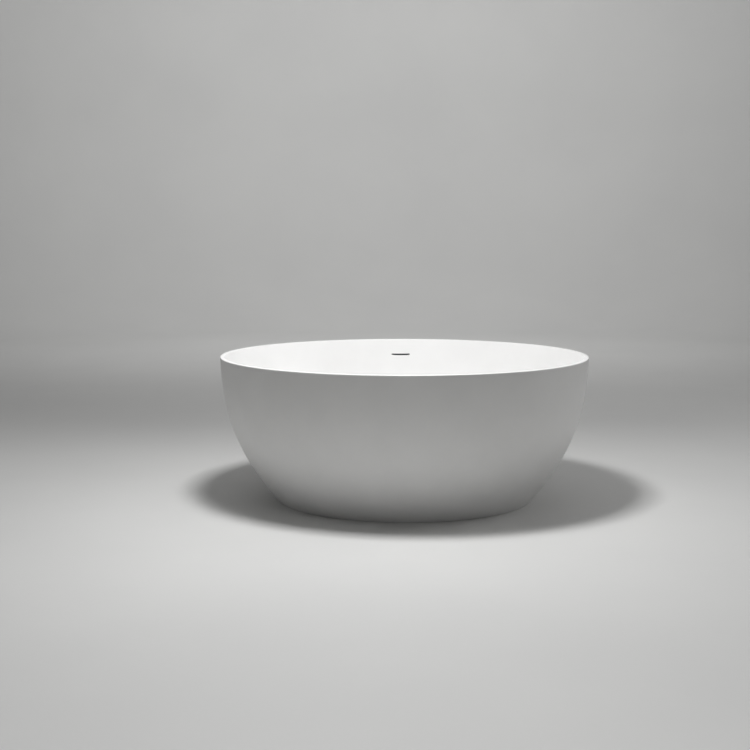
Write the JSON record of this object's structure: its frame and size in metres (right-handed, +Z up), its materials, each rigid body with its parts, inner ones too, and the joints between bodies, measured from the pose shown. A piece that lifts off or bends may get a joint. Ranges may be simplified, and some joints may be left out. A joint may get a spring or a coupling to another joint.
{
  "type": "freestanding bathtub",
  "caption": "Round freestanding bathtub: a double-skinned tapered wall with a thin rim, overflow slot, pop-up waste, low trap and levelling feet.",
  "frame": {"origin": "centre of the base on the floor", "axes": "+Z up; +Y towards the wall of the bowl that has the overflow slot; +X to the right, seen from the side opposite the slot"},
  "size_m": [1.4994, 1.4994, 0.5742],
  "materials": {
    "cast_stone": "matt white solid surface",
    "chrome": "polished",
    "steel": "zinc plated",
    "brass": "machined",
    "rubber": "matt black",
    "silicone": "translucent white",
    "white_plastic": "moulded",
    "grey_plastic": "moulded",
    "ply": "moisture-proof plywood"
  },
  "bodies": {
    "tub": {"outer_shell": "cast_stone", "inner_bowl": "cast_stone", "base_frame": "ply", "waste_flange": "chrome", "waste_top_seal": "silicone", "waste_bottom_seal": "rubber", "waste_body": "white_plastic", "click_barrel": "brass", "plug_spring": "steel", "overflow_box": "grey_plastic", "overflow_gasket": "rubber", "overflow_hose": "grey_plastic", "hose_clip_top": "steel", "hose_clip_bottom": "steel", "support_block_1": "ply", "foot_insert_1": "brass", "foot_locknut_1": "steel", "support_block_2": "ply", "foot_insert_2": "brass", "foot_locknut_2": "steel", "support_block_3": "ply", "foot_insert_3": "brass", "foot_locknut_3": "steel", "support_block_4": "ply", "foot_insert_4": "brass", "foot_locknut_4": "steel"},
    "plug": {"plug_cap": "chrome", "plug_seal": "silicone", "plug_stem": "brass"},
    "trap": {"trap_body": "white_plastic", "trap_lid": "white_plastic", "trap_inlet_seal": "rubber", "trap_inlet_nut": "grey_plastic", "trap_outlet_seal": "rubber", "trap_outlet_nut": "grey_plastic"},
    "foot_pad_body_1": {"foot_pad_1": "rubber"},
    "foot_stud_body_1": {"foot_stud_1": "steel"},
    "foot_pad_body_2": {"foot_pad_2": "rubber"},
    "foot_stud_body_2": {"foot_stud_2": "steel"},
    "foot_pad_body_3": {"foot_pad_3": "rubber"},
    "foot_stud_body_3": {"foot_stud_3": "steel"},
    "foot_pad_body_4": {"foot_pad_4": "rubber"},
    "foot_stud_body_4": {"foot_stud_4": "steel"}
  },
  "joints": [
    {"name": "plug_lift", "type": "slide", "parent": "tub", "child": "plug", "axis": [0, 0, 1], "range_m": [0, 0.009], "deforming": ["plug_spring"]},
    {"name": "trap_swivel", "type": "hinge", "parent": "tub", "child": "trap", "pos_m": [0, 0, 0.06], "axis": [0, 0, 1], "continuous": true},
    {"name": "foot_travel_1", "type": "slide", "parent": "tub", "child": "foot_pad_body_1", "axis": [0, 0, -1], "range_m": [0, 0.0175]},
    {"name": "foot_stud_turn_1", "type": "hinge", "parent": "foot_pad_body_1", "child": "foot_stud_body_1", "pos_m": [0.3182, 0.3182, 0.03], "axis": [0, 0, -1], "range_deg": [0, 3600]},
    {"name": "foot_travel_2", "type": "slide", "parent": "tub", "child": "foot_pad_body_2", "axis": [0, 0, -1], "range_m": [0, 0.0175]},
    {"name": "foot_stud_turn_2", "type": "hinge", "parent": "foot_pad_body_2", "child": "foot_stud_body_2", "pos_m": [-0.3182, 0.3182, 0.03], "axis": [0, 0, -1], "range_deg": [0, 3600]},
    {"name": "foot_travel_3", "type": "slide", "parent": "tub", "child": "foot_pad_body_3", "axis": [0, 0, -1], "range_m": [0, 0.0175]},
    {"name": "foot_stud_turn_3", "type": "hinge", "parent": "foot_pad_body_3", "child": "foot_stud_body_3", "pos_m": [-0.3182, -0.3182, 0.03], "axis": [0, 0, -1], "range_deg": [0, 3600]},
    {"name": "foot_travel_4", "type": "slide", "parent": "tub", "child": "foot_pad_body_4", "axis": [0, 0, -1], "range_m": [0, 0.0175]},
    {"name": "foot_stud_turn_4", "type": "hinge", "parent": "foot_pad_body_4", "child": "foot_stud_body_4", "pos_m": [0.3182, -0.3182, 0.03], "axis": [0, 0, -1], "range_deg": [0, 3600]}
  ],
  "couplings": [
    {"joint": "foot_travel_1", "follows": "foot_stud_turn_1", "m_per_rad": 0.0002785},
    {"joint": "foot_travel_2", "follows": "foot_stud_turn_2", "m_per_rad": 0.0002785},
    {"joint": "foot_travel_3", "follows": "foot_stud_turn_3", "m_per_rad": 0.0002785},
    {"joint": "foot_travel_4", "follows": "foot_stud_turn_4", "m_per_rad": 0.0002785}
  ]
}
